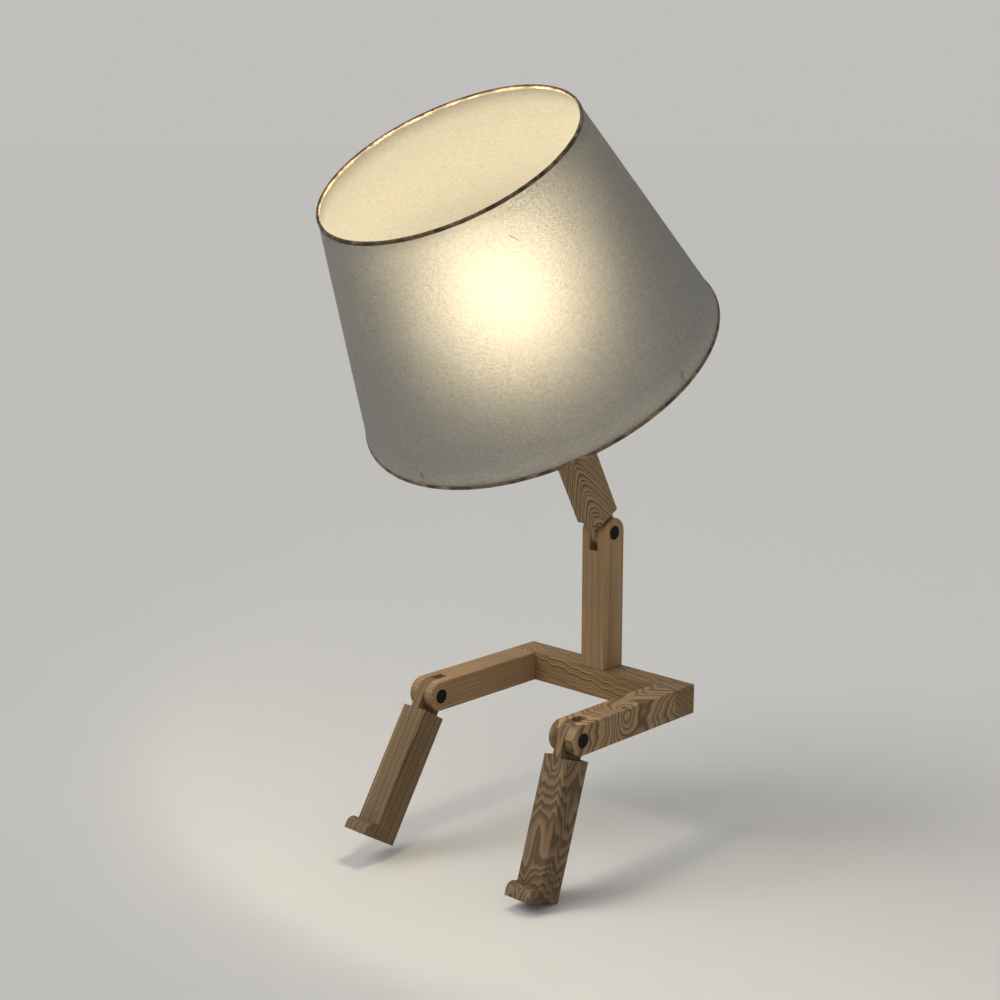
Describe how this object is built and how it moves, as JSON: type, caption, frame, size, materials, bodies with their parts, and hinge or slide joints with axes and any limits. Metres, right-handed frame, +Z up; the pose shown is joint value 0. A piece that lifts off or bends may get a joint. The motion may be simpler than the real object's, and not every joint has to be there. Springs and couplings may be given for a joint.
{
  "type": "desk lamp",
  "caption": "Seated figure desk lamp of square wooden bars with a drum paper shade for a head; neck and knees tilt and stay put.",
  "frame": {"origin": "middle of the crossbar's underside, the flat the figure sits on, straight below the torso", "axes": "+Z up along the torso, -Y the way the figure faces, +X to the right of someone who looks at its face from the front"},
  "size_m": [0.2382, 0.2521, 0.4943],
  "materials": {
    "ash_plain": "planed ash, waxed, straight grain",
    "ash_figured": "planed ash, waxed, arched grain",
    "dowel_beech": "turned beech",
    "black_plug": "satin black",
    "plated_steel": "zinc plated",
    "grey_washer": "matt grey nylon",
    "black_bush": "satin black",
    "brass": "plain turned brass",
    "holder_plastic": "satin white",
    "insert_ceramic": "unglazed",
    "frosted_glass": "frosted inside",
    "black_glass": "glossy black",
    "cap_aluminium": "pressed, bright",
    "white_wire": "satin white lacquer",
    "fibre_paper": "translucent, pitted, with fibres",
    "brown_tape": "mottled dark brown, matt"
  },
  "bodies": {
    "seat": {"crossbar": "ash_plain", "left_thigh": "ash_plain", "right_thigh": "ash_figured", "torso": "ash_plain", "left_thigh_dowels": "dowel_beech", "right_thigh_dowels": "dowel_beech", "torso_dowels": "dowel_beech", "neck_sleeve_nut": "plated_steel", "neck_screw": "plated_steel", "neck_washers": "grey_washer", "neck_plugs": "black_plug", "left_knee_sleeve_nut": "plated_steel", "left_knee_screw": "plated_steel", "left_knee_washers": "grey_washer", "left_knee_plugs": "black_plug", "right_knee_sleeve_nut": "plated_steel", "right_knee_screw": "plated_steel", "right_knee_washers": "grey_washer", "right_knee_plugs": "black_plug"},
    "left_shin": {"left_shin": "ash_plain"},
    "right_shin": {"right_shin": "ash_figured"},
    "head": {"neck": "ash_figured", "cable_bush": "black_bush", "nipple": "brass", "nipple_nut": "brass", "holder_dome": "holder_plastic", "holder_body": "holder_plastic", "holder_insert": "insert_ceramic", "holder_contacts": "brass", "lower_shade_ring": "holder_plastic", "upper_shade_ring": "holder_plastic", "bulb_tip": "brass", "bulb_insulator": "black_glass", "bulb_cap": "cap_aluminium", "bulb_glass": "frosted_glass", "shade_carrier": "white_wire", "shade": "fibre_paper", "bottom_rim_wire": "white_wire", "top_rim_wire": "white_wire", "bottom_binding": "brown_tape", "top_binding": "brown_tape"}
  },
  "joints": [
    {"name": "neck_tilt", "type": "hinge", "parent": "seat", "child": "head", "pos_m": [0, 0, 0.114], "axis": [1, 0, 0], "range_deg": [-113, 57]},
    {"name": "left_knee", "type": "hinge", "parent": "seat", "child": "left_shin", "pos_m": [-0.062, -0.102, 0.01], "axis": [-1, 0, 0], "range_deg": [-40, 156]},
    {"name": "right_knee", "type": "hinge", "parent": "seat", "child": "right_shin", "pos_m": [0.062, -0.102, 0.01], "axis": [-1, 0, 0], "range_deg": [-26, 170]}
  ]
}
